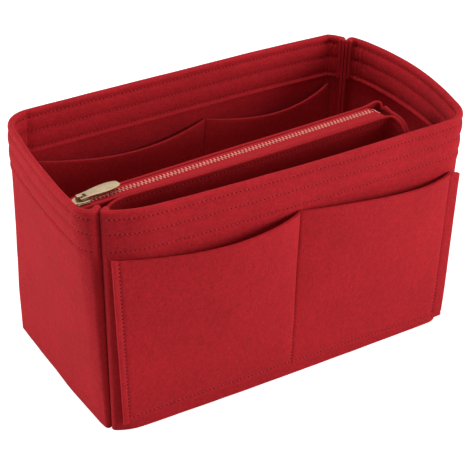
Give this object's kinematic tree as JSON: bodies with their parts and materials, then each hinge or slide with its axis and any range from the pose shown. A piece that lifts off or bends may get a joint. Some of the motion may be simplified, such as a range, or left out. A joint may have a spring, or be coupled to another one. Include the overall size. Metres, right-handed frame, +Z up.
{
  "type": "purse organizer insert",
  "caption": "Open-topped felt organizer insert for a handbag, with patch pockets outside and inside and a zipped compartment across the middle.",
  "frame": {"origin": "middle of the underside of the base", "axes": "+Z up out of the open top, -Y towards the front wall with the outside pockets, +X along the length towards the zip's far end"},
  "size_m": [0.2911, 0.1688, 0.1629],
  "materials": {
    "red_felt": "matte",
    "red_felt_lining": "matte",
    "zip_tape": "matte",
    "pale_gold_metal": "polished"
  },
  "bodies": {
    "organizer": {"front_wrap_panel": "red_felt", "back_wrap_panel": "red_felt", "base_panel": "red_felt_lining", "front_pocket_panel": "red_felt", "back_inner_pocket_panel": "red_felt_lining", "zip_pocket_front_panel": "red_felt", "zip_pocket_back_panel": "red_felt", "zip_tape_front": "zip_tape", "zip_tape_back": "zip_tape", "zip_teeth_front": "pale_gold_metal", "zip_teeth_back": "pale_gold_metal", "zip_top_stop_front": "pale_gold_metal", "zip_top_stop_back": "pale_gold_metal", "zip_bottom_stop": "pale_gold_metal"},
    "slider": {"slider_body": "pale_gold_metal"},
    "puller": {"puller": "pale_gold_metal"}
  },
  "joints": [
    {"name": "zip_slide", "type": "slide", "parent": "organizer", "child": "slider", "axis": [0.9974, 0.0715, 0], "range_m": [0, 0.218]},
    {"name": "puller_hinge", "type": "hinge", "parent": "slider", "child": "puller", "pos_m": [-0.12669, -0.03263, 0.1535], "axis": [0.165, -0.9863, 0], "range_deg": [-3, 130]}
  ]
}
